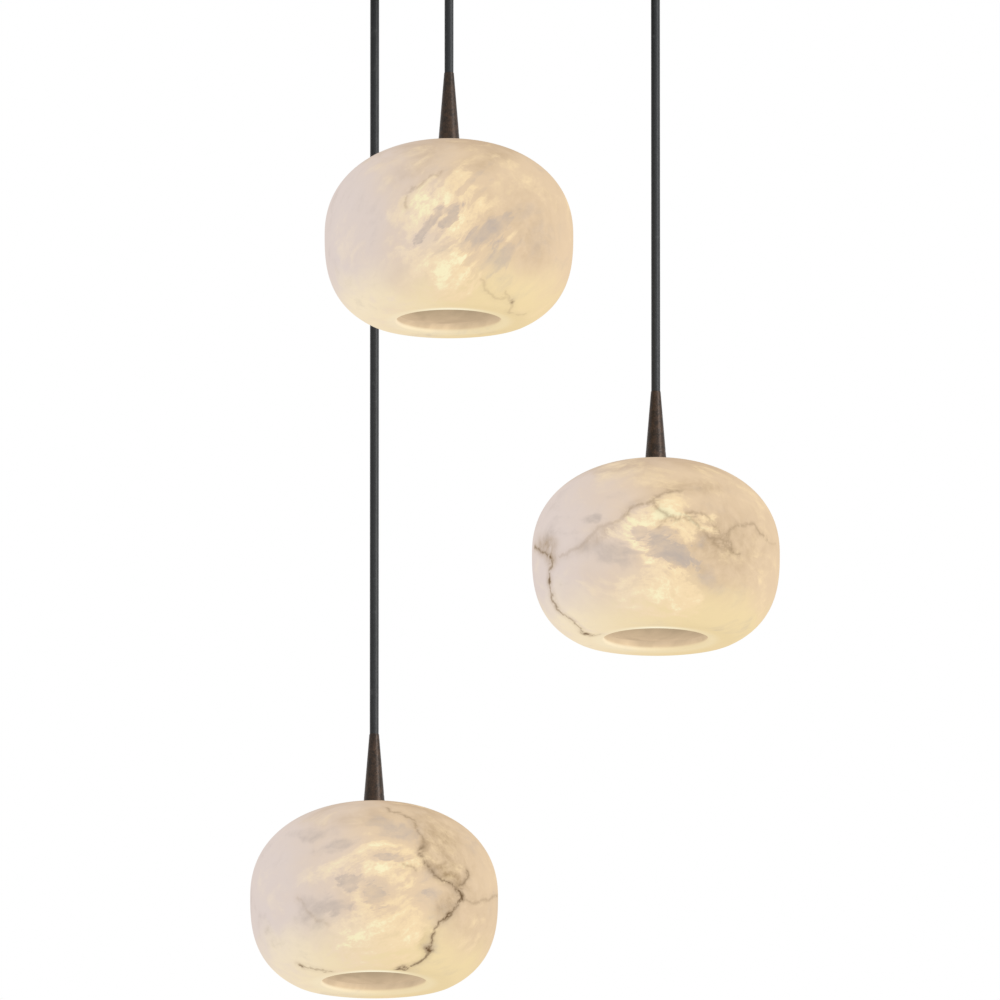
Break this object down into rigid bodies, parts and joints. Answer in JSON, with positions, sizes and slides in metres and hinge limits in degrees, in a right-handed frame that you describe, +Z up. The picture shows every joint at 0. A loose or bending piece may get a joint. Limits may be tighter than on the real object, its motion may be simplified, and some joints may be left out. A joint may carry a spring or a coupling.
{
  "type": "pendant lamp",
  "caption": "Cluster pendant lamp: a round ceiling canopy with cords of staggered length, each carrying a tapered metal cone and a hollow alabaster shade that is open at the bottom.",
  "frame": {"origin": "centre of the ceiling plate's upper face, on the ceiling plane", "axes": "+Z up into the ceiling, -Y towards a viewer in front of the lamp, +X to that viewer's right"},
  "size_m": [0.3847, 0.3849, 0.7938],
  "materials": {
    "alabaster": "polished translucent stone, lit from inside",
    "rust_bronze": "mottled dark rust bronze",
    "cord_sheath": "charcoal sheath",
    "black_rubber": "matt",
    "zinc_steel": "zinc plated",
    "dark_steel": "blackened",
    "brass": "turned",
    "ceramic": "unglazed",
    "lead_insulation": "silicone",
    "terminal_plastic": "moulded",
    "bulb_base": "moulded",
    "bulb_glass": "frosted, lit"
  },
  "bodies": {
    "canopy": {"ceiling_plate": "zinc_steel", "canopy_shell": "rust_bronze", "canopy_screws": "dark_steel", "gland_nuts": "brass", "terminal_rose": "terminal_plastic", "terminal_screws": "brass", "rose_screws": "zinc_steel", "gland_mid": "rust_bronze", "cord_tail_mid": "cord_sheath", "gland_low": "rust_bronze", "cord_tail_low": "cord_sheath", "gland_high": "rust_bronze", "cord_tail_high": "cord_sheath"},
    "bend_mid": {"cord_bend_mid": "cord_sheath"},
    "lamp_mid": {"cord_mid": "cord_sheath", "cone_mid": "rust_bronze", "cone_screw_mid": "dark_steel", "crown_gasket_mid": "black_rubber", "shade_mid": "alabaster", "nipple_mid": "brass", "inner_gasket_mid": "black_rubber", "clamp_washer_mid": "zinc_steel", "clamp_nut_mid": "brass", "holder_bracket_mid": "zinc_steel", "lampholder_mid": "ceramic", "lamp_leads_mid": "lead_insulation"},
    "bulb_mid": {"bulb_base_mid": "bulb_base", "bulb_envelope_mid": "bulb_glass"},
    "bend_low": {"cord_bend_low": "cord_sheath"},
    "lamp_low": {"cord_low": "cord_sheath", "cone_low": "rust_bronze", "cone_screw_low": "dark_steel", "crown_gasket_low": "black_rubber", "shade_low": "alabaster", "nipple_low": "brass", "inner_gasket_low": "black_rubber", "clamp_washer_low": "zinc_steel", "clamp_nut_low": "brass", "holder_bracket_low": "zinc_steel", "lampholder_low": "ceramic", "lamp_leads_low": "lead_insulation"},
    "bulb_low": {"bulb_base_low": "bulb_base", "bulb_envelope_low": "bulb_glass"},
    "bend_high": {"cord_bend_high": "cord_sheath"},
    "lamp_high": {"cord_high": "cord_sheath", "cone_high": "rust_bronze", "cone_screw_high": "dark_steel", "crown_gasket_high": "black_rubber", "shade_high": "alabaster", "nipple_high": "brass", "inner_gasket_high": "black_rubber", "clamp_washer_high": "zinc_steel", "clamp_nut_high": "brass", "holder_bracket_high": "zinc_steel", "lampholder_high": "ceramic", "lamp_leads_high": "lead_insulation"},
    "bulb_high": {"bulb_base_high": "bulb_base", "bulb_envelope_high": "bulb_glass"}
  },
  "joints": [
    {"name": "swing_fore_mid", "type": "hinge", "parent": "canopy", "child": "bend_mid", "pos_m": [0.11828, 0.03147, -0.036], "axis": [1, 0, 0], "range_deg": [-12, 12]},
    {"name": "swing_side_mid", "type": "hinge", "parent": "bend_mid", "child": "lamp_mid", "pos_m": [0.11828, 0.03147, -0.042], "axis": [0, 1, 0], "range_deg": [-12, 12]},
    {"name": "bulb_pull_mid", "type": "slide", "parent": "lamp_mid", "child": "bulb_mid", "axis": [0, 0, -1], "range_m": [0, 0.12]},
    {"name": "swing_fore_low", "type": "hinge", "parent": "canopy", "child": "bend_low", "pos_m": [-0.0864, 0.0867, -0.036], "axis": [1, 0, 0], "range_deg": [-12, 12]},
    {"name": "swing_side_low", "type": "hinge", "parent": "bend_low", "child": "lamp_low", "pos_m": [-0.0864, 0.0867, -0.042], "axis": [0, 1, 0], "range_deg": [-12, 12]},
    {"name": "bulb_pull_low", "type": "slide", "parent": "lamp_low", "child": "bulb_low", "axis": [0, 0, -1], "range_m": [0, 0.12]},
    {"name": "swing_fore_high", "type": "hinge", "parent": "canopy", "child": "bend_high", "pos_m": [-0.03189, -0.11817, -0.036], "axis": [1, 0, 0], "range_deg": [-12, 12]},
    {"name": "swing_side_high", "type": "hinge", "parent": "bend_high", "child": "lamp_high", "pos_m": [-0.03189, -0.11817, -0.042], "axis": [0, 1, 0], "range_deg": [-12, 12]},
    {"name": "bulb_pull_high", "type": "slide", "parent": "lamp_high", "child": "bulb_high", "axis": [0, 0, -1], "range_m": [0, 0.12]}
  ]
}
